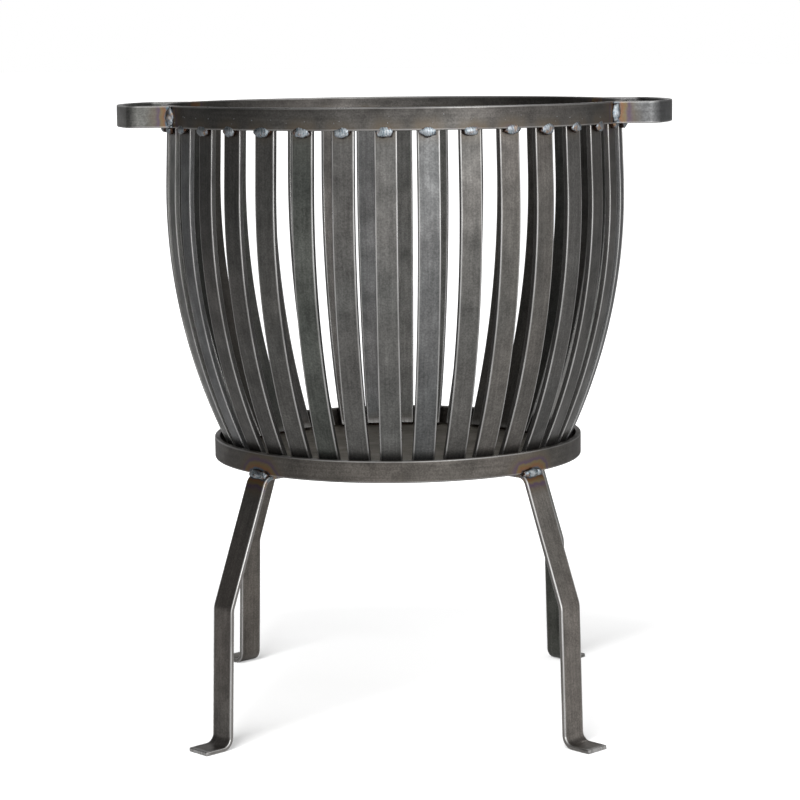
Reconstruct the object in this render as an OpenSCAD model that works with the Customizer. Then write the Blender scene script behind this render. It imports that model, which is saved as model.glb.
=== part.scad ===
// Fire basket: a ring of upright flat-bar slats between two hoops, standing on
// four bent legs. The basket and handles are of one flat bar section, the legs
// of a wider and thinner one, and everything is welded.
// Units are millimetres. +Z is up, the ground is z = 0, the basket's axis is
// the Z axis and the front is the -Y side. Azimuths are degrees from the
// front, growing towards +X.

/* [Flat bar] */
// Width of the flat bar that the hoops, slats and handles are made of
bar_w = 20; // [16:1:22]
// Thickness of that bar
bar_t = 5; // [4:0.5:6]
// Width of the flat bar that the legs are made of
leg_w = 25; // [20:1:28]
// Thickness of the legs' bar
leg_t = 4; // [4:0.5:5]

/* [Rim] */
// Height of the top hoop's upper edge above the ground
rim_z = 579; // [540:1:620]
// Outer diameter of the top hoop
rim_d = 436; // [426:1:446]

/* [Slats] */
// Number of slats around the basket
slat_count = 36; // [24:1:36]
// Azimuth of the first slat
slat_phase = -1; // [-5:0.1:5]
// Distance from the top hoop's upper edge down to the slats' upper ends
slat_inset = 13; // [2:1:14]
// Height above the ground where a slat's straight top runs into its curve
slat_bend_z = 510; // [490:1:530]
// Outward lean of a slat's straight top
slat_lean = 2.1; // [1:0.1:3]
// Radius of a slat's outer face along its curve
slat_r = 540; // [520:5:600]

/* [Bottom] */
// Height of the bottom hoop's lower edge above the ground
floor_z = 245.5; // [235:0.5:260]
// Outer diameter of the bottom hoop
base_d = 349.4; // [343:0.2:356]
// Thickness of the floor plate
plate_t = 3; // [2:0.5:4]

/* [Handles] */
// Width of a handle over its two arms
handle_w = 170; // [140:1:190]
// Distance from the top hoop to the outermost point of a handle's grip
handle_reach = 42; // [36:1:60]
// Radius of the outer face of a handle's bowed grip
grip_r = 190; // [160:1:240]

/* [Legs] */
// Azimuth of the front legs; the rear legs mirror them
leg_azimuth = 45; // [40:1:50]
// Length of the flange that a leg turns in under the floor
flange_l = 34; // [25:1:45]
// Distance from the bottom hoop's outer face in to where a leg's top bend starts
leg_setback = 5; // [0:0.5:6]
// Angle between the upper part of a leg and the vertical
splay = 21; // [18:1:26]
// Length of the splayed upper part of a leg
splay_l = 113; // [90:1:130]
// Angle between the lower part of a leg and the vertical
post_lean = 2; // [0.5:0.5:4]
// Length of the flat end of a foot
foot_l = 20; // [12:1:40]

/* [Welds] */
// Radius of the bead at the top of a slat
slat_bead_r = 5; // [3:0.5:6]
// Length of the bead at the top of a slat
slat_bead_l = 15; // [10:1:18]
// Leg length of the fillet at the foot of a slat
foot_bead = 4.5; // [3:0.5:6]
// Radius of the bead at each end of a handle
handle_bead_r = 4.5; // [3:0.5:6]
// Radius of the bead at the top of a leg
leg_bead_r = 5; // [3:0.5:6]

/* [Hidden] */
$fn = 180;

// Inner radii of the bends, and how far a bend's flat pieces may stray from it
sharp_bend_r = 8;
easy_bend_r = 15;
facet_error = 0.05;

rim_r = rim_d / 2;
base_r = base_d / 2;
plate_top = floor_z + plate_t;
rim_low = rim_z - bar_w;

// A slat's outer face touches the inside of the top hoop at the hoop's lower edge
slat_start_z = rim_z - slat_inset;
slat_start_r = rim_r - bar_t - (slat_start_z - rim_low) * tan(slat_lean);
slat_run = (slat_start_z - slat_bend_z) / cos(slat_lean);
// The curve ends where the outer corner of the square-cut end meets the floor
slat_end_angle = asin((slat_bend_z - plate_top) / slat_r - sin(slat_lean));
slat_foot_r = slat_start_r + slat_run * sin(slat_lean)
    - slat_r * (cos(slat_lean) - cos(slat_end_angle));

// Half angle of a grip, and where its arms start inside the hoop's cylinder
grip_inner_r = grip_r - bar_t;
grip_half = asin((handle_w / 2 - bar_t - sharp_bend_r) / (grip_inner_r - sharp_bend_r));
arm_start = rim_r - 30;
arm_run = rim_r + handle_reach - bar_t - arm_start - grip_inner_r
    + (grip_inner_r - sharp_bend_r) * cos(grip_half);
arm_meet_r = sqrt(pow(rim_r, 2) - pow(handle_w / 2, 2));

// The lower part of a leg takes up whatever height the bends above it leave
leg_bend_r = base_r - leg_setback;
splay_top_z = floor_z - (sharp_bend_r + leg_t) * (1 - sin(splay));
splay_end_z = splay_top_z - splay_l * cos(splay);
post_top_z = splay_end_z - (easy_bend_r + leg_t) * (sin(splay) - sin(post_lean));
post_l = (post_top_z - leg_t - sharp_bend_r * (1 - sin(post_lean))) / cos(post_lean);

function two_digits(n) = str(n < 10 ? "0" : "", n);
SLATS = [for (i = [1 : slat_count]) str("slat_", two_digits(i))];
SIDES = ["left", "right"];
HANDLES = [for (side = SIDES) str("handle_", side)];
LEGS = [for (end = ["front", "rear"], side = SIDES) str("leg_", end, "_", side)];
LEG_AZIMUTHS = [-leg_azimuth, leg_azimuth, leg_azimuth - 180, 180 - leg_azimuth];

STEEL = "#5d5c59";
DARK_STEEL = "#474644";
BEAD = "#8e98a0";

// ---- Building blocks ----

// Turns a part that points along +X to an azimuth
module at_azimuth(azimuth) {
    rotate([0, 0, azimuth - 90]) children();
}

// Stands a profile drawn as [radius, height] up and gives it a bar's width
module bar_from_profile(width) {
    rotate([90, 0, 0]) linear_extrude(height = width, center = true) children();
}

// Points along the left face of a bent bar, each [x, y, heading]. The bar sets
// out along +X, and each step is [straight length, turn to the left, inner
// radius of the turn]
function bent_line(steps, thickness, i = 0, x = 0, y = 0, heading = 0) =
    i == len(steps) ? [] :
    let (
        run = steps[i][0],
        turn = steps[i][1],
        side = turn < 0 ? -1 : 1,
        face_r = turn < 0 ? steps[i][2] + thickness : steps[i][2],
        run_x = x + run * cos(heading),
        run_y = y + run * sin(heading),
        centre_x = run_x - side * face_r * sin(heading),
        centre_y = run_y + side * face_r * cos(heading),
        pieces = turn == 0 ? 0 : ceil(abs(turn) / facet_angle(face_r)),
        headings = [for (k = [1 : 1 : pieces]) heading + turn * k / pieces],
        end = heading + turn
    )
    concat(
        run > 0 ? [[run_x, run_y, heading]] : [],
        [for (h = headings) [
            centre_x + side * face_r * sin(h),
            centre_y - side * face_r * cos(h),
            h
        ]],
        bent_line(
            steps,
            thickness,
            i + 1,
            centre_x + side * face_r * sin(end),
            centre_y - side * face_r * cos(end),
            end
        )
    );

// Angle that one flat piece of a bend may span
function facet_angle(radius) = min(6, 2 * acos(1 - facet_error / radius));

// Bent bar seen edge on, with its left face starting at the origin
module bent_band(steps, thickness) {
    line = concat([[0, 0, 0]], bent_line(steps, thickness));
    last = len(line) - 1;
    polygon(concat(
        [for (s = line) [s[0], s[1]]],
        [for (k = [last : -1 : 0]) [
            line[k][0] + thickness * sin(line[k][2]),
            line[k][1] - thickness * cos(line[k][2])
        ]]
    ));
}

// Flat bar rolled into a hoop that stands on its edge
module hoop(outer_r, low_z) {
    translate([0, 0, low_z]) difference() {
        cylinder(r = outer_r, h = bar_w);
        translate([0, 0, -1]) cylinder(r = outer_r - bar_t, h = bar_w + 2);
    }
}

// Weld bead with round ends, lying along Y
module bead(radius, length) {
    straight = length - 2 * radius;
    rotate([90, 0, 0]) cylinder(r = radius, h = straight, center = true, $fn = 48);
    for (side = [-1, 1]) {
        translate([0, side * straight / 2, 0]) sphere(r = radius, $fn = 48);
    }
}

// ---- Bars at azimuth 90, before they are turned into place ----

module slat_bar() {
    bar_from_profile(bar_w)
        translate([slat_start_r, slat_start_z])
        rotate(slat_lean - 90)
        bent_band([[slat_run, -(slat_lean + slat_end_angle), slat_r - bar_t]], bar_t);
}

module leg_bar() {
    bar_from_profile(leg_w)
        translate([leg_bend_r - flange_l, floor_z])
        bent_band([
            [flange_l, splay - 90, sharp_bend_r],
            [splay_l, post_lean - splay, easy_bend_r],
            [post_l, 90 - post_lean, sharp_bend_r],
            [foot_l, 0, 0]
        ], leg_t);
}

module handle_bar() {
    difference() {
        translate([0, 0, rim_low])
            linear_extrude(height = bar_w)
            translate([arm_start, bar_t - handle_w / 2])
            bent_band([
                [arm_run, 90 - grip_half, sharp_bend_r],
                [0, 2 * grip_half, grip_inner_r],
                [0, 90 - grip_half, sharp_bend_r],
                [arm_run, 0, 0]
            ], bar_t);
        translate([0, 0, rim_low - 1]) cylinder(r = rim_r, h = bar_w + 2);
    }
}

// ---- Sub-parts ----

module slat(i) {
    color(STEEL) at_azimuth(slat_phase + i * 360 / slat_count) slat_bar();
}

module handle(i) {
    color(DARK_STEEL) rotate([0, 0, i == 0 ? 180 : 0]) handle_bar();
}

module leg(i) {
    color(STEEL) at_azimuth(LEG_AZIMUTHS[i]) leg_bar();
}

module top_hoop() {
    color(DARK_STEEL) hoop(rim_r, rim_low);
}

module bottom_hoop() {
    color(DARK_STEEL) hoop(base_r, floor_z);
}

// Solid floor that fills the bottom hoop and carries the slats
module floor_plate() {
    color(STEEL) translate([0, 0, floor_z]) cylinder(r = base_r - bar_t, h = plate_t);
}

// Bead in the corner between each slat and the top hoop's lower edge
module slat_top_welds() {
    color(BEAD)
        for (i = [0 : slat_count - 1]) at_azimuth(slat_phase + i * 360 / slat_count)
            difference() {
                translate([rim_r - bar_t + 1, 0, rim_low]) bead(slat_bead_r, slat_bead_l);
                slat_bar();
                hoop(rim_r, rim_low);
                // Clears what would show on the inside of the basket
                translate([0, -bar_w, rim_low]) cube([rim_r - bar_t, 2 * bar_w, bar_w]);
            }
}

// Fillet behind each slat's foot, in the gap between it and the bottom hoop
module slat_foot_welds() {
    color(BEAD)
        for (i = [0 : slat_count - 1]) at_azimuth(slat_phase + i * 360 / slat_count)
            rotate([90, 0, 0])
            linear_extrude(height = bar_w - 4, center = true)
            translate([slat_foot_r, plate_top])
            polygon([
                [0, 0],
                [foot_bead, 0],
                foot_bead * [sin(slat_end_angle), cos(slat_end_angle)]
            ]);
}

// Upright bead on the outside of each handle arm where it meets the top hoop
module handle_welds() {
    color(BEAD)
        for (end = [0, 180], side = [-1, 1]) rotate([0, 0, end])
            difference() {
                translate([arm_meet_r, side * handle_w / 2, rim_z - bar_w / 2])
                    rotate([90, 0, 0])
                    bead(handle_bead_r, bar_w);
                handle_bar();
                translate([0, 0, rim_low - bar_w]) cylinder(r = rim_r, h = 3 * bar_w);
            }
}

// Bead along the outside of each leg's top bend, under the bottom hoop's edge
module leg_welds() {
    color(BEAD)
        for (azimuth = LEG_AZIMUTHS) at_azimuth(azimuth)
            difference() {
                translate([base_r, 0, floor_z]) bead(leg_bead_r, leg_w);
                leg_bar();
                translate([0, 0, floor_z - bar_w]) cylinder(r = base_r, h = 3 * bar_w);
                // Clears what would hang below the flange
                translate([0, -leg_w, floor_z - leg_w]) cube([leg_bend_r, 2 * leg_w, leg_w]);
            }
}

for (i = [0 : slat_count - 1]) {
    slat(i);
}
for (i = [0 : len(HANDLES) - 1]) {
    handle(i);
}
for (i = [0 : len(LEGS) - 1]) {
    leg(i);
}
top_hoop();
bottom_hoop();
floor_plate();
slat_top_welds();
slat_foot_welds();
handle_welds();
leg_welds();
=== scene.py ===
"""Looks of the fire basket: bent flat bars with rounded arrises, mill scale, heat tint and weld beads."""
import math
import random

import bmesh
import bpy
from mathutils import Matrix, Vector, kdtree, noise


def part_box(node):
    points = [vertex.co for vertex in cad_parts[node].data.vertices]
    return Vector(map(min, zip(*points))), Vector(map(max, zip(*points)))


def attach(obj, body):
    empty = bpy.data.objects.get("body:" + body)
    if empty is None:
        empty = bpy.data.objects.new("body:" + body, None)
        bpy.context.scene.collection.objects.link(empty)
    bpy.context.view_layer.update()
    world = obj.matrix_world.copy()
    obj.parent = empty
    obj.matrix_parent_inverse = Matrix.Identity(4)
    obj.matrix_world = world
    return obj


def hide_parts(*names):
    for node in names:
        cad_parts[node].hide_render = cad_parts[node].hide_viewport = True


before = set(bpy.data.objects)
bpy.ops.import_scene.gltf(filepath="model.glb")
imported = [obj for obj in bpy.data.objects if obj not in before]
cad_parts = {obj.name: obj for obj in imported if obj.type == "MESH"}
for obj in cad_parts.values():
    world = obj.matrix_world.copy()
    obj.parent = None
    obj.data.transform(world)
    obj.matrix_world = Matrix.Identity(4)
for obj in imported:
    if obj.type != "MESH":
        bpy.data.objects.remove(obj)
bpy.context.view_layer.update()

# ---- Driving sizes, in metres and degrees, the same as the CAD's ----

BAR_W = 0.020
BAR_T = 0.005
LEG_W = 0.025
LEG_T = 0.004
SHARP_BEND_R = 0.008
EASY_BEND_R = 0.015
SLAT_COUNT = 36
SLAT_PHASE = -1.0
SLAT_LEAN = 2.1
SLAT_R = 0.540
SLAT_BEND_Z = 0.510
SLAT_INSET = 0.013
HANDLE_W = 0.170
GRIP_R = 0.190
LEG_AZIMUTHS = {"front_left": -45, "front_right": 45, "rear_left": -135, "rear_right": 135}
FLANGE_L = 0.034
LEG_SETBACK = 0.005
SPLAY = 21.0
SPLAY_L = 0.113
POST_LEAN = 2.0
FOOT_L = 0.020

LOWEST = 0
HIGHEST = 1
RIM_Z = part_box("top_hoop")[HIGHEST].z
RIM_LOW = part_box("top_hoop")[LOWEST].z
RIM_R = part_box("top_hoop")[HIGHEST].x
BASE_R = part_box("bottom_hoop")[HIGHEST].x
FLOOR_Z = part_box("bottom_hoop")[LOWEST].z
PLATE_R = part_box("floor_plate")[HIGHEST].x
PLATE_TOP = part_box("floor_plate")[HIGHEST].z
HANDLE_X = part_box("handle_right")[HIGHEST].x
UP = Vector((0, 0, 1))

# ---- How finely the meshes are divided and how round their arrises are ----

ARRIS_R = 0.0009
LEG_ARRIS_R = 0.0011
PLATE_ARRIS_R = 0.0008
ARRIS_BAND = 0.0008
ARRIS_ANGLES = (22.5, 45, 67.5)
END_ANGLES = (90, 60, 30)
# Share of the arrises' brightening that the bars' sides get: partly wear and partly a painted highlight
SIDE_WEAR_AND_HIGHLIGHT = 0.30
BEND_STEP = 4.0
RUN_STEP = 0.006
HOOP_STEP = 2
PLATE_SEGMENTS = 144
PLATE_RINGS = (0.15, 0.35, 0.55, 0.7, 0.78, 0.83, 0.87, 0.9, 0.93, 0.96, 0.98)

# ---- Studio ----

LENS = 112.5
CAMERA_PLACE = (0.0463, -2.3641, 0.6329)
CAMERA_TURN = 1.065
CAMERA_DIP = 8.12
CAMERA_ROLL = -0.62
FLOOR_R = 60.0
FLOOR_WHITE = (0.45, 0.45, 0.45)
FLOOR_ON_STEEL = (0.33, 0.33, 0.33)
FLOOR_GLOW = 0.35
FLOOR_GLOW_ON_STEEL = 0.75
GLOW_STARTS = 0.40
GLOW_ENDS = 1.1
ROOM_LIGHT = 5.0
BRIGHT_SIDE = 28.0
ROOM_SIDES = ((0.0, 0.13), (0.12, 0.04), (0.27, 0.008), (0.5, 0.05), (0.75, 0.22), (0.92, 0.50), (1.0, 0.85))
ROOM_HEIGHTS = ((0.0, 0.8), (0.5, 0.9), (1.0, 1.0))
LAMP_AIM = Vector((0, 0, 0.3))
FLOOR_LAMP = {"place": (-1.05, -2.75, 2.75), "size": (1.9, 1.9), "watts": 295}
RIGHT_LAMP = {"place": (1.45, -2.85, 0.55), "size": (1.6, 1.0), "watts": 12}
TOP_LAMP = {"place": (0.3, 1.9, 2.3), "size": (1.6, 1.2), "watts": 16}


def sind(angle):
    return math.sin(math.radians(angle))


def cosd(angle):
    return math.cos(math.radians(angle))


# ---- Bar paths ----

def bent_path(x, y, heading, steps, thickness):
    """Stations (x, y, heading) on a bar's left face; a step is (run, turn to the left, inner radius)."""
    stations = [(x, y, heading)]
    for run, turn, inner_r in steps:
        pieces = max(1, math.ceil(run / RUN_STEP)) if run > 0 else 0
        for k in range(1, pieces + 1):
            done = run * k / pieces
            stations.append((x + done * cosd(heading), y + done * sind(heading), heading))
        x, y, _ = stations[-1]
        if turn == 0:
            continue
        side = -1 if turn < 0 else 1
        face_r = inner_r + thickness if turn < 0 else inner_r
        centre_x = x - side * face_r * sind(heading)
        centre_y = y + side * face_r * cosd(heading)
        step = min(BEND_STEP, math.degrees(RUN_STEP / face_r))
        pieces = math.ceil(abs(turn) / step)
        for k in range(1, pieces + 1):
            h = heading + turn * k / pieces
            stations.append((centre_x + side * face_r * sind(h), centre_y - side * face_r * cosd(h), h))
        heading += turn
        x, y, _ = stations[-1]
    return stations


def bar_section(width, thickness, arris_r):
    """Points (across, depth) round a flat bar's section, with arris weights; depth is from the left face."""
    flat = width / 2 - arris_r
    inner = flat - ARRIS_BAND
    columns = (-flat, -inner, -inner / 2, 0, inner / 2, inner, flat)
    weights = (1, 0, 0, 0, 0, 0, 1)
    side_depths = (arris_r, thickness / 2, thickness - arris_r)
    points = []
    arris = []
    for side in (1, -1):
        for x, weight in zip(columns, weights):
            points.append((side * x, 0.0 if side > 0 else thickness))
            arris.append(weight)
        for a in ARRIS_ANGLES:
            depth = arris_r * (1 - cosd(a))
            points.append((side * (flat + arris_r * sind(a)), depth if side > 0 else thickness - depth))
            arris.append(1)
        for depth in side_depths[::side]:
            points.append((side * width / 2, depth))
            arris.append(SIDE_WEAR_AND_HIGHLIGHT)
        for a in ARRIS_ANGLES[::-1]:
            depth = arris_r * (1 - cosd(a))
            points.append((side * (flat + arris_r * sind(a)), thickness - depth if side > 0 else depth))
            arris.append(1)
    return points, arris


# ---- Sweeping a bar's section along its path ----

def upright_point(azimuth):
    """Maps (radius, height, across) on a bar that stands at an azimuth to a point in space."""
    outward = Vector((sind(azimuth), -cosd(azimuth), 0))
    sideways = Vector((cosd(azimuth), sind(azimuth), 0))

    def place(x, y, across):
        return outward * x + sideways * across + UP * y

    return place


def level_point(turn, middle_z):
    """Maps (x, y, across) on a bar that lies on its edge to a point in space, turned about Z."""
    spin = Matrix.Rotation(math.radians(turn), 3, "Z")

    def place(x, y, across):
        return spin @ Vector((x, y, middle_z + across))

    return place


def end_rings(station, direction, arris_r):
    """Rings (x, y, heading, shrink) that round a bar's end; direction is -1 at its start and 1 at its end."""
    x, y, heading = station
    rings = []
    for angle in END_ANGLES:
        back = arris_r * (1 - cosd(90 - angle)) * direction
        shrink = arris_r * (1 - cosd(angle))
        rings.append((x - back * cosd(heading), y - back * sind(heading), heading, shrink))
    return rings


def join_loops(bm, low, high):
    """Band of four-sided faces between two closed loops of the same number of corners."""
    count = len(low)
    for i in range(count):
        j = (i + 1) % count
        bm.faces.new((low[i], low[j], high[j], high[i]))


def fan(bm, loop, tip):
    """Cone of triangles between a closed loop and one corner."""
    for i, corner in enumerate(loop):
        bm.faces.new((corner, loop[(i + 1) % len(loop)], tip))


def sweep(name, stations, place, width, thickness, arris_r, closed=False):
    """Bar of rounded flat section along stations, with bar coordinates and arris weights as attributes."""
    section, arris = bar_section(width, thickness, arris_r)
    rings = [(x, y, h, 0.0) for x, y, h in stations]
    if not closed:
        rings = end_rings(stations[0], -1, arris_r) + rings[1:-1] + end_rings(stations[-1], 1, arris_r)[::-1]
    bm = bmesh.new()
    bar_layer = bm.verts.layers.float_vector.new("bar")
    edge_layer = bm.verts.layers.float.new("edge")
    along = 0.0
    loops = []
    for k, (x, y, h, shrink) in enumerate(rings):
        if k:
            along += math.hypot(x - rings[k - 1][0], y - rings[k - 1][1])
        loop = []
        for (across, depth), weight in zip(section, arris):
            a = across * (1 - 2 * shrink / width)
            d = thickness / 2 + (depth - thickness / 2) * (1 - 2 * shrink / thickness)
            vert = bm.verts.new(place(x + d * sind(h), y - d * cosd(h), a))
            vert[bar_layer] = (along, a, d)
            vert[edge_layer] = 1.0 if shrink > 0 else weight
            loop.append(vert)
        loops.append(loop)
    for low, high in zip(loops, loops[1:]):
        join_loops(bm, low, high)
    if closed:
        join_loops(bm, loops[-1], loops[0])
    else:
        bm.faces.new(loops[0])
        bm.faces.new(loops[-1][::-1])
    return piece_from(bm, name)


def piece_from(bm, name):
    """Turns a bmesh into a smooth-shaded object with weighted normals."""
    bmesh.ops.recalc_face_normals(bm, faces=bm.faces)
    for face in bm.faces:
        face.smooth = True
    mesh = bpy.data.meshes.new(name)
    bm.to_mesh(mesh)
    bm.free()
    piece = bpy.data.objects.new(name, mesh)
    bpy.context.scene.collection.objects.link(piece)
    modifier = piece.modifiers.new("weighted", "WEIGHTED_NORMAL")
    modifier.keep_sharp = True
    return piece


def finish_piece(piece, material, nodes, tone):
    """Gives a piece its heat and tone, its material and its body, and hides the CAD parts that it stands for.
    """
    mesh = piece.data
    heat = mesh.attributes.new("weld", "FLOAT", "POINT")
    heat.data.foreach_set("value", [weld_distance(v.co) for v in mesh.vertices])
    shade = mesh.attributes.new("tone", "FLOAT", "POINT")
    shade.data.foreach_set("value", [tone] * len(mesh.vertices))
    mesh.materials.append(material)
    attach(piece, "root")
    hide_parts(*nodes)


# ---- Where the welds are ----

SLAT_AZIMUTHS = [SLAT_PHASE + i * 360 / SLAT_COUNT for i in range(SLAT_COUNT)]
SLAT_START_Z = RIM_Z - SLAT_INSET
SLAT_START_R = RIM_R - BAR_T - (SLAT_START_Z - RIM_LOW) * math.tan(math.radians(SLAT_LEAN))
SLAT_RUN = (SLAT_START_Z - SLAT_BEND_Z) / cosd(SLAT_LEAN)
SLAT_END = math.degrees(math.asin((SLAT_BEND_Z - PLATE_TOP) / SLAT_R - sind(SLAT_LEAN)))
SLAT_FOOT_R = SLAT_START_R + SLAT_RUN * sind(SLAT_LEAN) - SLAT_R * (cosd(SLAT_LEAN) - cosd(SLAT_END))
TOP_BEAD_R = RIM_R - BAR_T + 0.0012
HANDLE_WELD_X = math.sqrt(RIM_R ** 2 - (HANDLE_W / 2) ** 2)
HANDLE_ENDS = ((-1, -1), (-1, 1), (1, -1), (1, 1))
SLAT_WELD_SPREAD = (-0.006, 0, 0.006)
LEG_WELD_SPREAD = (-0.010, -0.005, 0, 0.005, 0.010)
HANDLE_WELD_HEIGHTS = (0.003, 0.010, 0.017)
SMALL_WELD_OFFSET = 0.011


def slat_weld_points():
    """Points along the slats' small welds."""
    points = []
    for azimuth in SLAT_AZIMUTHS:
        place = upright_point(azimuth)
        for across in SLAT_WELD_SPREAD:
            points.append(place(TOP_BEAD_R, RIM_LOW, across))
            points.append(place(SLAT_FOOT_R + 0.003, PLATE_TOP, across))
    return points


def main_weld_points():
    """Points along the welds of the legs and handles, which leave the strongest colours."""
    points = []
    for azimuth in LEG_AZIMUTHS.values():
        place = upright_point(azimuth)
        for across in LEG_WELD_SPREAD:
            points.append(place(BASE_R, FLOOR_Z, across))
    for side_x, side_y in HANDLE_ENDS:
        for rise in HANDLE_WELD_HEIGHTS:
            points.append(Vector((side_x * HANDLE_WELD_X, side_y * HANDLE_W / 2, RIM_LOW + rise)))
    return points


def tree_of(points):
    """Search tree that finds the nearest of some points."""
    tree = kdtree.KDTree(len(points))
    for i, point in enumerate(points):
        tree.insert(point, i)
    tree.balance()
    return tree


slat_weld_tree = tree_of(slat_weld_points())
main_weld_tree = tree_of(main_weld_points())


def weld_distance(point):
    """Distance to the nearest weld; a slat's small weld counts as further off, as it gave less heat."""
    return min(main_weld_tree.find(point)[2], slat_weld_tree.find(point)[2] + SMALL_WELD_OFFSET)


# ---- Materials ----

def node(tree, kind, **values):
    """New shader node with its properties set, and its unlinked inputs by name."""
    made = tree.nodes.new(kind)
    for key, value in values.items():
        if key in made.inputs:
            made.inputs[key].default_value = value
        else:
            setattr(made, key, value)
    return made


def attribute(tree, name, output):
    """One output of a mesh attribute."""
    return node(tree, "ShaderNodeAttribute", attribute_name=name).outputs[output]


def noise_of(tree, vector, scale, detail, roughness):
    """Noise from 0 to 1; its scale is the number of features to the metre."""
    made = node(tree, "ShaderNodeTexNoise", Scale=scale, Detail=detail, Roughness=roughness)
    tree.links.new(vector, made.inputs["Vector"])
    return made.outputs["Fac"]


def stretched(tree, vector, scale):
    """Coordinates scaled apart along each axis."""
    made = tree.nodes.new("ShaderNodeMapping")
    made.inputs["Scale"].default_value = scale
    tree.links.new(vector, made.inputs["Vector"])
    return made.outputs["Vector"]


def maths(tree, operation, a, b, clamp=False):
    """Result of a named operation on two values, each a number or a socket."""
    made = node(tree, "ShaderNodeMath", operation=operation, use_clamp=clamp)
    for socket, value in zip(made.inputs, (a, b)):
        if isinstance(value, (int, float)):
            socket.default_value = value
        else:
            tree.links.new(value, socket)
    return made.outputs[0]


def span(tree, value, low, high, to_low=0.0, to_high=1.0):
    """Maps a value from one range to another and holds it inside the second."""
    made = node(tree, "ShaderNodeMapRange")
    for name, number in (("From Min", low), ("From Max", high), ("To Min", to_low), ("To Max", to_high)):
        made.inputs[name].default_value = number
    tree.links.new(value, made.inputs["Value"])
    return made.outputs["Result"]


MIX_FACTOR = 0
MIX_COLOUR_A = 6
MIX_COLOUR_B = 7
MIX_COLOUR = 2


def mix(tree, blend, factor, a, b):
    """Mixes two colours; a factor or colour is a number, a tuple or a socket."""
    made = node(tree, "ShaderNodeMix", data_type="RGBA", blend_type=blend)
    for index, value in ((MIX_FACTOR, factor), (MIX_COLOUR_A, a), (MIX_COLOUR_B, b)):
        socket = made.inputs[index]
        if isinstance(value, (int, float)):
            socket.default_value = value
        elif isinstance(value, tuple):
            socket.default_value = (*value, 1.0)
        else:
            tree.links.new(value, socket)
    return made.outputs[MIX_COLOUR]


def ramp(tree, value, stops):
    """Colour ramp with stops of (position, colour)."""
    made = tree.nodes.new("ShaderNodeValToRGB")
    elements = made.color_ramp.elements
    while len(elements) < len(stops):
        elements.new(0.5)
    for element, (position, colour) in zip(elements, stops):
        element.position = position
        element.color = (*colour, 1.0)
    tree.links.new(value, made.inputs["Fac"])
    return made.outputs["Color"]


def shades(tree, value, stops):
    """Grey ramp with stops of (position, brightness)."""
    return ramp(tree, value, [(position, (grey, grey, grey)) for position, grey in stops])


# The ramps run from 0 to 1: over a bar's tone, over a noise or over the heat from a weld, hottest first
BAR_HUES = (
    (0.00, (0.96, 1.03, 0.97)),
    (0.34, (1.00, 1.00, 1.00)),
    (0.67, (1.05, 0.99, 0.93)),
    (1.00, (0.94, 0.99, 1.06)),
)
BAR_SHADES = ((0.0, 0.80), (0.2, 1.12), (0.4, 0.92), (0.6, 1.08), (0.8, 0.84), (1.0, 1.20))
CLOUD_HUES = ((0.32, (0.78, 0.82, 0.80)), (0.68, (1.18, 1.14, 1.10)))
STREAK_SHADES = ((0.35, 0.72), (0.65, 1.22))
SPECKLE_SHADES = ((0.36, 0.62), (0.66, 1.25))
FINE_SHADES = ((0.38, 0.6), (0.62, 1.25))
# Each noise is its scale, detail and roughness
MOTTLE = (38.0, 5.0, 0.62)
CLOUDS = (9.0, 2.0, 0.5)
SPECKLE = (620.0, 2.0, 0.6)
STREAK = (1.0, 3.0, 0.6)
BEAD_PATCHES = (150.0, 3.0, 0.6)
BEAD_GRAIN = (900.0, 3.0, 0.6)
STREAK_STRETCH = (14.0, 330.0, 60.0)
# Bright steel painted on the arrises: partly worn-off mill scale and partly a painted highlight
WORN_STEEL_AND_HIGHLIGHT = (0.42, 0.415, 0.41)
TINT_STARTS = 0.002
TINT_ENDS = 0.026
TINT_WANDER = 0.016
TINT = (
    (0.00, (0.07, 0.12, 0.14)),
    (0.10, (0.06, 0.09, 0.12)),
    (0.18, (0.16, 0.075, 0.032)),
    (0.32, (0.13, 0.098, 0.045)),
    (0.42, (0.075, 0.050, 0.080)),
    (0.58, (0.10, 0.080, 0.058)),
    (1.00, (0.09, 0.086, 0.078)),
)
BEAD_COLOURS = (
    (0.35, (0.11, 0.07, 0.05)),
    (0.43, (0.08, 0.12, 0.15)),
    (0.51, (0.23, 0.25, 0.26)),
    (0.58, (0.12, 0.14, 0.17)),
    (0.66, (0.18, 0.11, 0.06)),
)
# Each bump is its strength and its height
GRAIN_BUMP = (0.35, 0.00012)
MOTTLE_BUMP = (0.25, 0.0006)
BEAD_BUMP = (0.4, 0.0003)
BAR_METALLIC = 0.9
BEAD_METALLIC = 0.95
# Painted highlight on the outward-facing ripple crests of the weld beads
BEAD_CREST_HIGHLIGHT = (0.50, 0.52, 0.54)
BEAD_RIM = (0.055, 0.030, 0.020)


def new_material(name):
    """New material, its node tree and its shader."""
    material = bpy.data.materials.new(name)
    material.use_nodes = True
    tree = material.node_tree
    return material, tree, tree.nodes["Principled BSDF"]


def scale_colour(tree, place, mottle, streak, speckle, dark, light):
    """Mill scale between two colours: set by the bar's tone, then clouded, streaked and speckled."""
    tone = attribute(tree, "tone", "Fac")
    clouds = noise_of(tree, place, *CLOUDS)
    colour = mix(tree, "MIX", span(tree, mottle, 0.30, 0.72), dark, light)
    colour = mix(tree, "MULTIPLY", 1.0, colour, ramp(tree, tone, BAR_HUES))
    # On the bars whose tones are listed, this shade holds painted light and shade as well as the steel's own
    # tone
    colour = mix(tree, "MULTIPLY", 1.0, colour, shades(tree, tone, BAR_SHADES))
    colour = mix(tree, "MULTIPLY", 0.55, colour, ramp(tree, clouds, CLOUD_HUES))
    colour = mix(tree, "MULTIPLY", 0.60, colour, shades(tree, streak, STREAK_SHADES))
    return mix(tree, "MULTIPLY", 0.60, colour, shades(tree, speckle, SPECKLE_SHADES))


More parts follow.
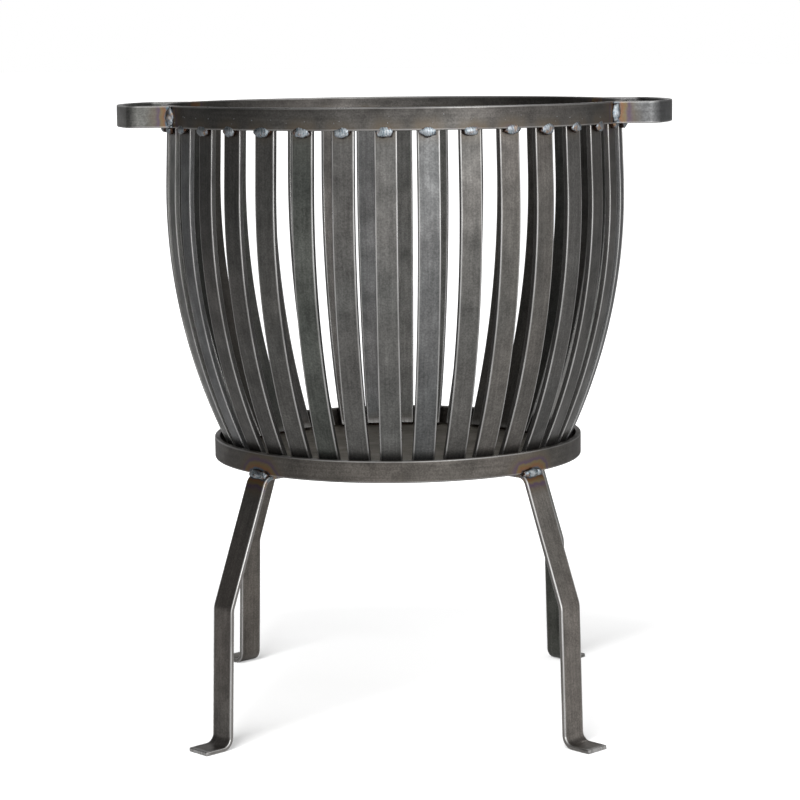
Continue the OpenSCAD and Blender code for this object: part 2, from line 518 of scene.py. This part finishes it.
def heat_tinted(tree, colour, mottle, tint_share):
    """Colour with the heat tint round a weld, whose edge wanders with the mottle."""
    wander = maths(tree, "MULTIPLY", maths(tree, "SUBTRACT", mottle, 0.5), TINT_WANDER)
    distance = maths(tree, "ADD", attribute(tree, "weld", "Fac"), wander)
    cooled = span(tree, distance, TINT_STARTS, TINT_ENDS)
    share = span(tree, cooled, 0.45, 1.0, tint_share, 0.0)
    return mix(tree, "MIX", share, colour, ramp(tree, cooled, TINT))


def bump_of(tree, height, strength, distance):
    """Bump node over a height."""
    made = node(tree, "ShaderNodeBump", Strength=strength, Distance=distance)
    tree.links.new(height, made.inputs["Height"])
    return made


def grain_normal(tree, mottle, streak, speckle):
    """Normal with a fine grain over a coarser unevenness."""
    grain = maths(tree, "ADD", maths(tree, "MULTIPLY", speckle, 0.6), maths(tree, "MULTIPLY", streak, 0.4))
    fine = bump_of(tree, grain, *GRAIN_BUMP)
    coarse = bump_of(tree, mottle, *MOTTLE_BUMP)
    tree.links.new(fine.outputs["Normal"], coarse.inputs["Normal"])
    return coarse.outputs["Normal"]


def bar_steel(name, dark, light, roughness, tint_share, wear_and_highlight):
    """Mill-scale steel: mottled, streaked along the bar, tinted by the welds, bright on the arrises from wear
    and a painted highlight.
    """
    material, tree, shader = new_material(name)
    place = node(tree, "ShaderNodeTexCoord").outputs["Object"]
    along_bar = stretched(tree, attribute(tree, "bar", "Vector"), STREAK_STRETCH)
    mottle = noise_of(tree, place, *MOTTLE)
    streak = noise_of(tree, along_bar, *STREAK)
    speckle = noise_of(tree, place, *SPECKLE)
    colour = scale_colour(tree, place, mottle, streak, speckle, dark, light)
    colour = heat_tinted(tree, colour, mottle, tint_share)
    # The arrises, and the sides a little, are painted brighter: partly wear and partly a painted highlight
    patchy = span(tree, streak, 0.30, 0.55, 0.35, 1.0)
    worn_and_highlit = maths(tree, "MULTIPLY", attribute(tree, "edge", "Fac"), patchy, clamp=True)
    colour = mix(tree, "MIX", maths(tree, "MULTIPLY", worn_and_highlit, wear_and_highlight), colour, WORN_STEEL_AND_HIGHLIGHT)
    rough = span(tree, mottle, 0.3, 0.7, roughness + 0.10, roughness - 0.05)
    rough = maths(tree, "SUBTRACT", rough, maths(tree, "MULTIPLY", worn_and_highlit, 0.12))
    tree.links.new(colour, shader.inputs["Base Color"])
    tree.links.new(rough, shader.inputs["Roughness"])
    tree.links.new(grain_normal(tree, mottle, streak, speckle), shader.inputs["Normal"])
    shader.inputs["Metallic"].default_value = BAR_METALLIC
    return material


def bead_metal():
    """Weld metal: brown, blue and silver patches, a painted highlight on the ripple crests and a dark brown
    rim.
    """
    material, tree, shader = new_material("weld_bead")
    place = node(tree, "ShaderNodeTexCoord").outputs["Object"]
    patches = noise_of(tree, place, *BEAD_PATCHES)
    fine = noise_of(tree, place, *BEAD_GRAIN)
    # On the beads the edge attribute is a painted highlight on the outward-facing ripple crests
    crest = maths(tree, "MULTIPLY", attribute(tree, "edge", "Fac"), 0.6)
    shape = node(tree, "ShaderNodeSeparateXYZ")
    tree.links.new(attribute(tree, "bar", "Vector"), shape.inputs[0])
    height = maths(tree, "ADD", shape.outputs["Z"], maths(tree, "SUBTRACT", patches, 0.5))
    colour = mix(tree, "MIX", crest, ramp(tree, patches, BEAD_COLOURS), BEAD_CREST_HIGHLIGHT)
    colour = mix(tree, "MIX", span(tree, height, 0.15, 0.5), BEAD_RIM, colour)
    colour = mix(tree, "MULTIPLY", 0.5, colour, shades(tree, fine, FINE_SHADES))
    tree.links.new(colour, shader.inputs["Base Color"])
    tree.links.new(span(tree, patches, 0.3, 0.7, 0.24, 0.44), shader.inputs["Roughness"])
    tree.links.new(bump_of(tree, fine, *BEAD_BUMP).outputs["Normal"], shader.inputs["Normal"])
    shader.inputs["Metallic"].default_value = BEAD_METALLIC
    return material


slat_steel = bar_steel("slat_steel", dark=(0.066, 0.0645, 0.0630), light=(0.122, 0.119, 0.116),
                       roughness=0.38, tint_share=0.5, wear_and_highlight=0.65)
hoop_steel = bar_steel("hoop_steel", dark=(0.046, 0.0438, 0.042), light=(0.094, 0.0895, 0.086),
                       roughness=0.40, tint_share=0.85, wear_and_highlight=0.40)
handle_steel = bar_steel("handle_steel", dark=(0.078, 0.0755, 0.074), light=(0.142, 0.138, 0.135),
                         roughness=0.38, tint_share=0.8, wear_and_highlight=0.5)
leg_steel = bar_steel("leg_steel", dark=(0.088, 0.083, 0.079), light=(0.166, 0.157, 0.150),
                      roughness=0.40, tint_share=0.95, wear_and_highlight=0.85)
plate_steel = bar_steel("plate_steel", dark=(0.100, 0.095, 0.084), light=(0.175, 0.166, 0.148),
                        roughness=0.46, tint_share=0.6, wear_and_highlight=0.5)
bead_steel = bead_metal()


# ---- Bars ----

# Each bar's tone, from 0 to 1, picks its hue and shade; the slats that aren't named get a random one. The
# listed tones were set bar by bar to match how bright each bar looks, so besides the steel's own hue they
# hold painted light and shade: the slat just right of the front is brightest, and the bottom hoop is lighter
# than the top one.
tones = random.Random(5)
TOP_HOOP_TONE_AND_PAINTED_LIGHT = 0.41
BOTTOM_HOOP_TONE_AND_PAINTED_LIGHT = 0.61
FLOOR_TONE = 0.6
BEAD_TONE = 0.5
SLAT_TONES_AND_PAINTED_LIGHT = {0: 0.31, 1: 0.93, 2: 0.44, 3: 0.55, 4: 0.72, 5: 0.80, 6: 0.78,
              31: 0.80, 32: 0.80, 33: 0.44, 34: 0.03, 35: 0.38}
LEG_TONES_AND_PAINTED_LIGHT = {"front_left": 0.76, "front_right": 0.52, "rear_left": 0.60, "rear_right": 0.03}


def slat(i):
    """Slat that leans outward from the rim and then curves in down to the floor."""
    steps = [(SLAT_RUN, -(SLAT_LEAN + SLAT_END), SLAT_R - BAR_T)]
    stations = bent_path(SLAT_START_R, SLAT_START_Z, SLAT_LEAN - 90, steps, BAR_T)
    piece = sweep(f"slat_bar_{i + 1:02d}", stations, upright_point(SLAT_AZIMUTHS[i]), BAR_W, BAR_T, ARRIS_R)
    finish_piece(piece, slat_steel, [f"slat_{i + 1:02d}"], SLAT_TONES_AND_PAINTED_LIGHT.get(i, tones.random()))


def hoop(name, outer_r, low_z, tone):
    """Hoop whose path goes round clockwise, so that its left face is its outside."""
    stations = [(outer_r * sind(a), outer_r * cosd(a), -a) for a in range(0, 360, HOOP_STEP)]
    place = level_point(0, low_z + BAR_W / 2)
    piece = sweep(f"{name}_bar", stations, place, BAR_W, BAR_T, ARRIS_R, closed=True)
    finish_piece(piece, hoop_steel, [name], tone)


def handle(side, turn):
    """Handle with two arms, two tight corners and a bowed grip; turn is 0 on the right, 180 on the left."""
    inner_grip = GRIP_R - BAR_T
    half = math.degrees(math.asin((HANDLE_W / 2 - BAR_T - SHARP_BEND_R) / (inner_grip - SHARP_BEND_R)))
    start_x = HANDLE_WELD_X - BAR_T / 2
    arm_run = HANDLE_X - BAR_T - start_x - inner_grip + (inner_grip - SHARP_BEND_R) * cosd(half)
    steps = [
        (arm_run, 90 - half, SHARP_BEND_R),
        (0, 2 * half, inner_grip),
        (0, 90 - half, SHARP_BEND_R),
        (arm_run, 0, 0),
    ]
    stations = bent_path(start_x, BAR_T - HANDLE_W / 2, 0, steps, BAR_T)
    place = level_point(turn, RIM_LOW + BAR_W / 2)
    piece = sweep(f"handle_bar_{side}", stations, place, BAR_W, BAR_T, ARRIS_R)
    finish_piece(piece, handle_steel, [f"handle_{side}"], tones.random())


def leg(where, azimuth):
    """Leg with a flange under the floor, a splayed part, a post and a foot."""
    bend_r = BASE_R - LEG_SETBACK
    splay_top_z = FLOOR_Z - (SHARP_BEND_R + LEG_T) * (1 - sind(SPLAY))
    splay_end_z = splay_top_z - SPLAY_L * cosd(SPLAY)
    post_top_z = splay_end_z - (EASY_BEND_R + LEG_T) * (sind(SPLAY) - sind(POST_LEAN))
    post_l = (post_top_z - LEG_T - SHARP_BEND_R * (1 - sind(POST_LEAN))) / cosd(POST_LEAN)
    steps = [
        (FLANGE_L, SPLAY - 90, SHARP_BEND_R),
        (SPLAY_L, POST_LEAN - SPLAY, EASY_BEND_R),
        (post_l, 90 - POST_LEAN, SHARP_BEND_R),
        (FOOT_L, 0, 0),
    ]
    stations = bent_path(bend_r - FLANGE_L, FLOOR_Z, 0, steps, LEG_T)
    piece = sweep(f"leg_bar_{where}", stations, upright_point(azimuth), LEG_W, LEG_T, LEG_ARRIS_R)
    finish_piece(piece, leg_steel, [f"leg_{where}"], LEG_TONES_AND_PAINTED_LIGHT[where])


def floor_plate():
    """Disc with a rounded edge, divided into rings so that the heat tint can follow the welds."""
    thickness = PLATE_TOP - FLOOR_Z
    profile = [(r * PLATE_R, thickness) for r in PLATE_RINGS]
    profile.append((PLATE_R - PLATE_ARRIS_R, thickness))
    for a in END_ANGLES[::-1]:
        profile.append((PLATE_R - PLATE_ARRIS_R * (1 - sind(a)), thickness - PLATE_ARRIS_R * (1 - cosd(a))))
    profile.append((PLATE_R, 0.0))
    bm = bmesh.new()
    bar_layer = bm.verts.layers.float_vector.new("bar")
    bm.verts.layers.float.new("edge")
    loops = []
    for r, z in profile:
        loop = []
        for k in range(PLATE_SEGMENTS):
            a = k * 360 / PLATE_SEGMENTS
            vert = bm.verts.new((r * sind(a), -r * cosd(a), FLOOR_Z + z))
            vert[bar_layer] = (r * sind(a), -r * cosd(a), z)
            loop.append(vert)
        loops.append(loop)
    for low, high in zip(loops, loops[1:]):
        join_loops(bm, low, high)
    fan(bm, loops[0], bm.verts.new((0, 0, PLATE_TOP)))
    fan(bm, loops[-1], bm.verts.new((0, 0, FLOOR_Z)))
    finish_piece(piece_from(bm, "floor_disc"), plate_steel, ["floor_plate"], FLOOR_TONE)


# ---- Weld beads; their sizes are half lengths ----

BEAD_ROWS = 22
BEAD_COLUMNS = 16
BEAD_RIPPLE = 0.10
BEAD_LUMP = 0.28
BEAD_FULLNESS = 0.7
CREST_LAG = 1.1
# Share of the bead metal's painted crest highlight that each spatter drop gets
SPATTER_CREST_HIGHLIGHT = 0.8

SLAT_BEAD_TILT = (-10, 10)
SLAT_BEAD_L = (0.0070, 0.0086)
SLAT_BEAD_W = (0.0040, 0.0050)
SLAT_BEAD_H = 0.0034
SLAT_BEAD_OUT = 0.0014
SLAT_BEAD_DROP = 0.0008
SLAT_BEAD_STRAY_Z = (-0.0006, 0.0006)
SLAT_BEAD_STRAY_ACROSS = (-0.001, 0.001)
SLAT_SPATTER_COUNT = 2
SLAT_SPATTER_ACROSS = (-0.013, 0.013)
SLAT_SPATTER_RISE = (0.005, 0.014)
SLAT_SPATTER_R = (0.0002, 0.0004)

FOOT_BEAD_L = (0.0075, 0.0088)
FOOT_BEAD_W = 0.0032
FOOT_BEAD_H = 0.0030
FOOT_BEAD_OUT = 0.0015
FOOT_BEAD_RISE = 0.0008

HANDLE_BEAD = (0.0084, 0.0046, 0.0040)
HANDLE_BEAD_OUT = 0.0006
HANDLE_BEAD_FACING = (0.5, 0.85)
HANDLE_SPATTER_COUNT = 4
HANDLE_SPATTER_TURN = (-3.5, 3.5)
HANDLE_SPATTER_RISE = (0.002, 0.018)
HANDLE_SPATTER_R = (0.0003, 0.0006)

LEG_BEAD_H = 0.0036
LEG_BEAD_OUT = 0.0004
LEG_BEAD_DROP = 0.0002
# Where each leg's two beads lie across it, and their half lengths and half widths
LEG_BEAD_PARTS = ((-0.001, 0.0112, 0.0046), (0.0072, 0.0042, 0.0040))


def add_bead(bm, centre, axes, sizes, seed, ripples):
    """Lumpy closed bead: sizes are half lengths along the bead, across it and out of the joint."""
    edge_layer = bm.verts.layers.float.get("edge")
    bar_layer = bm.verts.layers.float_vector.get("bar")
    along, across, out = axes
    shift = Vector((seed * 3.7, seed * 1.3, 0))
    rows = []
    for i in range(1, BEAD_ROWS):
        polar = 180 * i / BEAD_ROWS
        row = []
        for k in range(BEAD_COLUMNS):
            a = 360 * k / BEAD_COLUMNS
            unit = Vector((-cosd(polar), sind(polar) * cosd(a), sind(polar) * sind(a)))
            # Ripples are crescents: the puddle's front lags behind at its edges
            phase = unit.x * ripples - CREST_LAG * (unit.y ** 2)
            crest = 0.5 + 0.5 * math.cos(2 * math.pi * phase)
            swell = 1 + BEAD_RIPPLE * crest * sind(polar) + BEAD_LUMP * noise.noise(unit * 1.7 + shift)
            rise = math.copysign(abs(unit.z) ** BEAD_FULLNESS, unit.z)
            level = along * (unit.x * sizes[0]) + across * (unit.y * sizes[1])
            vert = bm.verts.new(centre + level * swell + out * (rise * sizes[2]))
            # Painted highlight: the ripple crests that face outward are marked for a bright colour
            vert[edge_layer] = max(0.0, crest * 1.6 - 0.6) * max(0.0, unit.z)
            vert[bar_layer] = unit
            row.append(vert)
        rows.append(row)
    for low, high in zip(rows, rows[1:]):
        join_loops(bm, low, high)
    fan(bm, rows[0], bm.verts.new(centre - along * sizes[0]))
    fan(bm, rows[-1], bm.verts.new(centre + along * sizes[0]))


def add_spatter(bm, centre, radius):
    """Small round drop of weld metal."""
    made = bmesh.ops.create_icosphere(bm, subdivisions=2, radius=radius, matrix=Matrix.Translation(centre))
    edge_layer = bm.verts.layers.float.get("edge")
    bar_layer = bm.verts.layers.float_vector.get("bar")
    for vert in made["verts"]:
        # Each spatter drop is painted all over with part of the bead metal's crest highlight
        vert[edge_layer] = SPATTER_CREST_HIGHLIGHT
        vert[bar_layer] = UP


def new_bead_mesh():
    """Empty mesh with the layers that the bead metal reads."""
    bm = bmesh.new()
    bm.verts.layers.float_vector.new("bar")
    bm.verts.layers.float.new("edge")
    return bm


def slat_top_welds():
    """Bead across each slat under the rim, a little askew, with drops of spatter on the rim."""
    rng = random.Random(11)
    bm = new_bead_mesh()
    for i, azimuth in enumerate(SLAT_AZIMUTHS):
        place = upright_point(azimuth)
        outward = place(1, 0, 0)
        sideways = place(0, 0, 1)
        tilt = rng.uniform(*SLAT_BEAD_TILT)
        along = sideways * cosd(tilt) + UP * sind(tilt)
        across = UP * cosd(tilt) - sideways * sind(tilt)
        half_l = rng.uniform(*SLAT_BEAD_L)
        half_w = rng.uniform(*SLAT_BEAD_W)
        height = RIM_LOW - SLAT_BEAD_DROP + rng.uniform(*SLAT_BEAD_STRAY_Z)
        centre = place(TOP_BEAD_R + SLAT_BEAD_OUT, height, rng.uniform(*SLAT_BEAD_STRAY_ACROSS))
        add_bead(bm, centre, (along, across, outward), (half_l, half_w, SLAT_BEAD_H), seed=i, ripples=4)
        for _ in range(SLAT_SPATTER_COUNT):
            side = rng.uniform(*SLAT_SPATTER_ACROSS)
            rise = rng.uniform(*SLAT_SPATTER_RISE)
            drop_r = rng.uniform(*SLAT_SPATTER_R)
            turn = azimuth + math.degrees(side / RIM_R)
            add_spatter(bm, upright_point(turn)(RIM_R, RIM_LOW + rise, 0), drop_r)
    finish_piece(piece_from(bm, "slat_top_beads"), bead_steel, ["slat_top_welds"], BEAD_TONE)


def slat_foot_welds():
    """Fillet behind each slat's foot on the floor."""
    rng = random.Random(12)
    bm = new_bead_mesh()
    for i, azimuth in enumerate(SLAT_AZIMUTHS):
        place = upright_point(azimuth)
        axes = (place(0, 0, 1), place(1, 0, 0), UP)
        centre = place(SLAT_FOOT_R + FOOT_BEAD_OUT, PLATE_TOP + FOOT_BEAD_RISE, 0)
        sizes = (rng.uniform(*FOOT_BEAD_L), FOOT_BEAD_W, FOOT_BEAD_H)
        add_bead(bm, centre, axes, sizes, seed=50 + i, ripples=5)
    finish_piece(piece_from(bm, "slat_foot_beads"), bead_steel, ["slat_foot_welds"], BEAD_TONE)


def handle_welds():
    """Upright bead in the corner between the rim and each handle end, with spatter beside it."""
    rng = random.Random(13)
    bm = new_bead_mesh()
    for end, (side_x, side_y) in enumerate(HANDLE_ENDS):
        weld_x = side_x * HANDLE_WELD_X
        weld_y = side_y * HANDLE_W / 2
        azimuth = math.degrees(math.atan2(weld_x, -weld_y))
        centre_x = weld_x + side_x * HANDLE_BEAD_OUT
        centre_y = weld_y + side_y * HANDLE_BEAD_OUT
        centre = Vector((centre_x, centre_y, RIM_LOW + BAR_W / 2))
        out = Vector((side_x * HANDLE_BEAD_FACING[0], side_y * HANDLE_BEAD_FACING[1], 0)).normalized()
        axes = (UP, Vector((-out.y, out.x, 0)), out)
        add_bead(bm, centre, axes, HANDLE_BEAD, seed=101 + end, ripples=6)
        for _ in range(HANDLE_SPATTER_COUNT):
            turn = azimuth + rng.uniform(*HANDLE_SPATTER_TURN)
            spot = upright_point(turn)(RIM_R, RIM_LOW + rng.uniform(*HANDLE_SPATTER_RISE), 0)
            add_spatter(bm, spot, rng.uniform(*HANDLE_SPATTER_R))
    finish_piece(piece_from(bm, "handle_beads"), bead_steel, ["handle_welds"], BEAD_TONE)


def leg_welds():
    """Two beads, side by side, on each leg's top bend where it meets the bottom hoop."""
    bm = new_bead_mesh()
    for i, azimuth in enumerate(LEG_AZIMUTHS.values()):
        place = upright_point(azimuth)
        axes = (place(0, 0, 1), UP, place(1, 0, 0))
        for part, (across, half_l, half_w) in enumerate(LEG_BEAD_PARTS):
            centre = place(BASE_R + LEG_BEAD_OUT, FLOOR_Z - LEG_BEAD_DROP, across)
            seed = 200 + 2 * i + part
            add_bead(bm, centre, axes, (half_l, half_w, LEG_BEAD_H), seed, ripples=6)
    finish_piece(piece_from(bm, "leg_beads"), bead_steel, ["leg_welds"], BEAD_TONE)


for index in range(SLAT_COUNT):
    slat(index)
hoop("top_hoop", RIM_R, RIM_LOW, TOP_HOOP_TONE_AND_PAINTED_LIGHT)
hoop("bottom_hoop", BASE_R, FLOOR_Z, BOTTOM_HOOP_TONE_AND_PAINTED_LIGHT)
handle("left", 180)
handle("right", 0)
for leg_name, leg_azimuth in LEG_AZIMUTHS.items():
    leg(leg_name, leg_azimuth)
floor_plate()
slat_top_welds()
slat_foot_welds()
handle_welds()
leg_welds()


# ---- Camera, floor and light ----

def make_camera():
    """Camera in front of the basket, a little above the rim and dipped down to it."""
    data = bpy.data.cameras.new("camera")
    data.lens = LENS
    data.sensor_width = 36.0
    data.clip_end = 100.0
    camera = bpy.data.objects.new("camera", data)
    turn = Matrix.Rotation(math.radians(CAMERA_TURN), 4, "Z")
    dip = Matrix.Rotation(math.radians(90 - CAMERA_DIP), 4, "X")
    roll = Matrix.Rotation(math.radians(CAMERA_ROLL), 4, "Z")
    camera.matrix_world = Matrix.Translation(CAMERA_PLACE) @ turn @ dip @ roll
    bpy.context.scene.collection.objects.link(camera)
    bpy.context.scene.camera = camera


def towards_bright_side(tree, vector):
    """How far a vector reaches towards the front right, where the light comes from."""
    made = node(tree, "ShaderNodeVectorMath", operation="DOT_PRODUCT")
    tree.links.new(vector, made.inputs[0])
    made.inputs[1].default_value = (sind(BRIGHT_SIDE), -cosd(BRIGHT_SIDE), 0)
    return made.outputs["Value"]


def floor_glow(tree, seen):
    """Glow that rises away from the basket for the camera, and towards the bright side for the steel."""
    place = node(tree, "ShaderNodeTexCoord").outputs["Object"]
    distance = node(tree, "ShaderNodeVectorMath", operation="LENGTH")
    tree.links.new(place, distance.inputs[0])
    glow = span(tree, distance.outputs["Value"], GLOW_STARTS, GLOW_ENDS, FLOOR_GLOW, 1.0)
    glow_on_steel = span(tree, towards_bright_side(tree, place), -0.1, 1.0, 0.0, FLOOR_GLOW_ON_STEEL)
    rise = maths(tree, "MULTIPLY", maths(tree, "SUBTRACT", glow, glow_on_steel), seen)
    return maths(tree, "ADD", glow_on_steel, rise)


def floor_paint():
    """White paint that glows more away from the basket, so the floor meets the background without a line."""
    material, tree, shader = new_material("studio_white")
    seen = node(tree, "ShaderNodeLightPath").outputs["Is Camera Ray"]
    colour = mix(tree, "MIX", seen, FLOOR_ON_STEEL, FLOOR_WHITE)
    tree.links.new(colour, shader.inputs["Base Color"])
    tree.links.new(floor_glow(tree, seen), shader.inputs["Emission Strength"])
    shader.inputs["Roughness"].default_value = 0.9
    shader.inputs["Specular IOR Level"].default_value = 0.1
    shader.inputs["Emission Color"].default_value = (1, 1, 1, 1)
    return material


def make_floor():
    """Wide round floor under the feet."""
    bm = bmesh.new()
    bmesh.ops.create_circle(bm, cap_ends=True, radius=FLOOR_R, segments=96)
    mesh = bpy.data.meshes.new("studio_floor")
    bm.to_mesh(mesh)
    bm.free()
    mesh.materials.append(floor_paint())
    floor = bpy.data.objects.new("studio_floor", mesh)
    bpy.context.scene.collection.objects.link(floor)
    return floor


def lamp_group(name, pieces):
    """Collection that a lamp uses to choose what it lights or what shades it."""
    group = bpy.data.collections.new(name)
    for piece in pieces:
        group.objects.link(piece)
    return group


def area_light(name, place, size, watts):
    """Soft rectangular lamp that faces the basket."""
    data = bpy.data.lights.new(name, "AREA")
    data.shape = "RECTANGLE"
    data.size, data.size_y = size
    data.energy = watts
    lamp = bpy.data.objects.new(name, data)
    lamp.location = place
    lamp.rotation_mode = "QUATERNION"
    lamp.rotation_quaternion = (LAMP_AIM - lamp.location).to_track_quat("-Z", "Y")
    bpy.context.scene.collection.objects.link(lamp)
    return lamp


def room_colour(tree):
    """Room that is darker on the left and a little brighter above."""
    direction = node(tree, "ShaderNodeTexCoord").outputs["Generated"]
    parts = node(tree, "ShaderNodeSeparateXYZ")
    tree.links.new(direction, parts.inputs[0])
    sideways = shades(tree, span(tree, towards_bright_side(tree, direction), -1, 1), ROOM_SIDES)
    upward = shades(tree, span(tree, parts.outputs["Z"], -1, 1), ROOM_HEIGHTS)
    return mix(tree, "MULTIPLY", 1.0, sideways, upward)


def make_world():
    """Plain white to the camera, and the room to the steel."""
    world = bpy.data.worlds.new("studio")
    bpy.context.scene.world = world
    world.use_nodes = True
    tree = world.node_tree
    room = tree.nodes["Background"]
    tree.links.new(room_colour(tree), room.inputs["Color"])
    room.inputs["Strength"].default_value = ROOM_LIGHT
    white = node(tree, "ShaderNodeBackground", Color=(1, 1, 1, 1), Strength=1.0)
    seen = node(tree, "ShaderNodeLightPath").outputs["Is Camera Ray"]
    choose = node(tree, "ShaderNodeMixShader")
    tree.links.new(seen, choose.inputs[0])
    tree.links.new(room.outputs[0], choose.inputs[1])
    tree.links.new(white.outputs[0], choose.inputs[2])
    tree.links.new(choose.outputs[0], tree.nodes["World Output"].inputs[0])


def make_lamps(floor):
    """One lamp lights the floor, shaded by the legs alone; two light the steel alone."""
    steel = [piece for piece in bpy.data.objects if piece.type == "MESH" and piece != floor]
    legs = [bpy.data.objects[f"leg_bar_{where}"] for where in LEG_AZIMUTHS]
    floor_lamp = area_light("floor_lamp", **FLOOR_LAMP)
    floor_lamp.light_linking.receiver_collection = lamp_group("lit_floor", [floor])
    floor_lamp.light_linking.blocker_collection = lamp_group("shading_legs", legs)
    lit_steel = lamp_group("lit_steel", steel)
    for name, lamp in (("right_lamp", RIGHT_LAMP), ("top_lamp", TOP_LAMP)):
        area_light(name, **lamp).light_linking.receiver_collection = lit_steel


make_camera()
make_world()
make_lamps(make_floor())
bpy.context.scene.view_settings.view_transform = "Standard"
